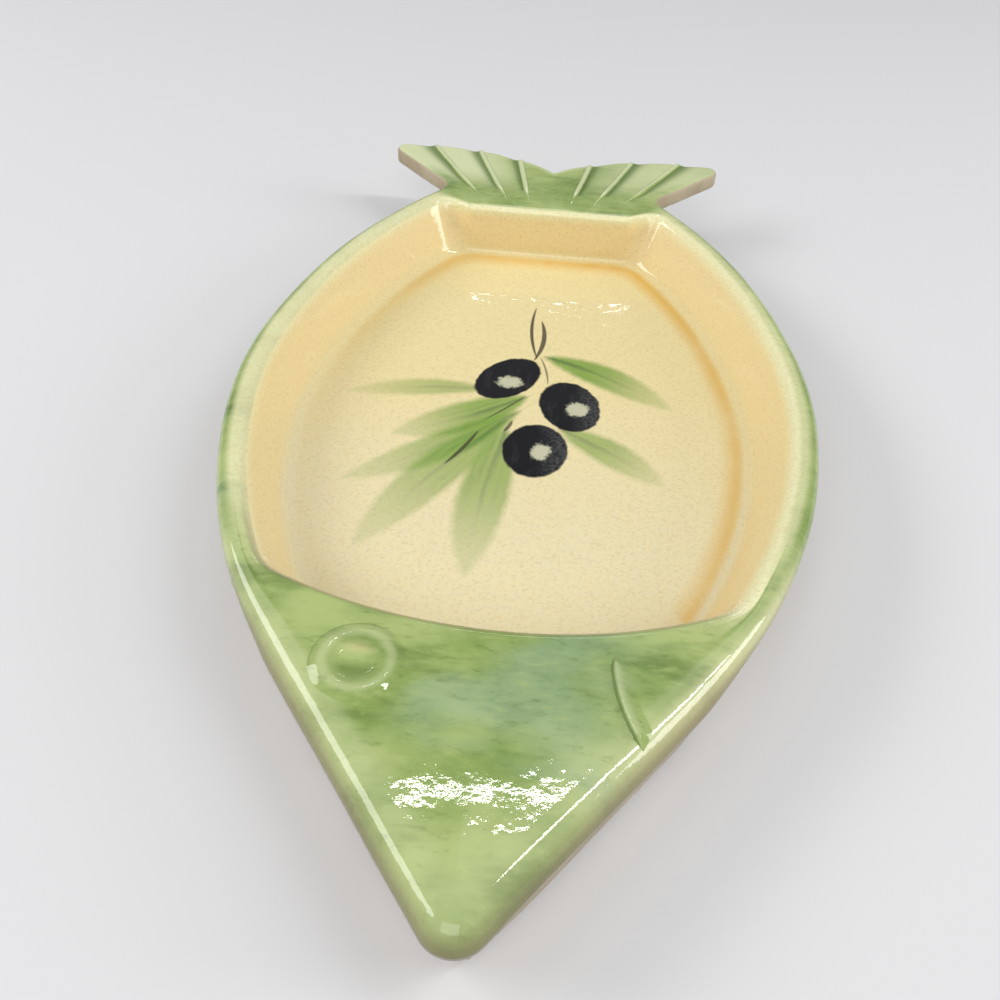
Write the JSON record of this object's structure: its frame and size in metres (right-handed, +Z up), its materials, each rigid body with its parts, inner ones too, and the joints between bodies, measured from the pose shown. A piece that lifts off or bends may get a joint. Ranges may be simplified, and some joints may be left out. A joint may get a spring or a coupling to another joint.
{
  "type": "olive dish",
  "caption": "Fish-shaped glazed dish for olives: a shallow well with leaning walls and a rounded rim, a closed head with a raised eye and lip, and a fan tail with rays.",
  "frame": {"origin": "on the table under the middle of the dish's box", "axes": "+Z up from the table, +Y from the snout to the tail along the long axis, +X to the right seen from above with the snout nearest"},
  "size_m": [0.184, 0.3441, 0.0298],
  "materials": {
    "green_glaze": "high gloss, brushed olive green",
    "rim_glaze": "high gloss, pale green fading to cream",
    "cream_glaze": "high gloss, speckled cream",
    "bare_clay": "matt buff clay"
  },
  "bodies": {
    "root": {"foot_rim": "bare_clay", "well_floor": "cream_glaze", "left_wall": "cream_glaze", "right_wall": "cream_glaze", "tail_wall": "cream_glaze", "front_wall": "cream_glaze", "head_base": "bare_clay", "head_left_wall": "bare_clay", "head_right_wall": "bare_clay", "head_deck": "green_glaze", "left_rim": "rim_glaze", "right_rim": "rim_glaze", "tail_rim": "rim_glaze", "tail_fin": "green_glaze", "tail_rays": "green_glaze", "eye_ring": "green_glaze", "eye_pupil": "green_glaze", "mouth_lip": "green_glaze"}
  },
  "joints": []
}
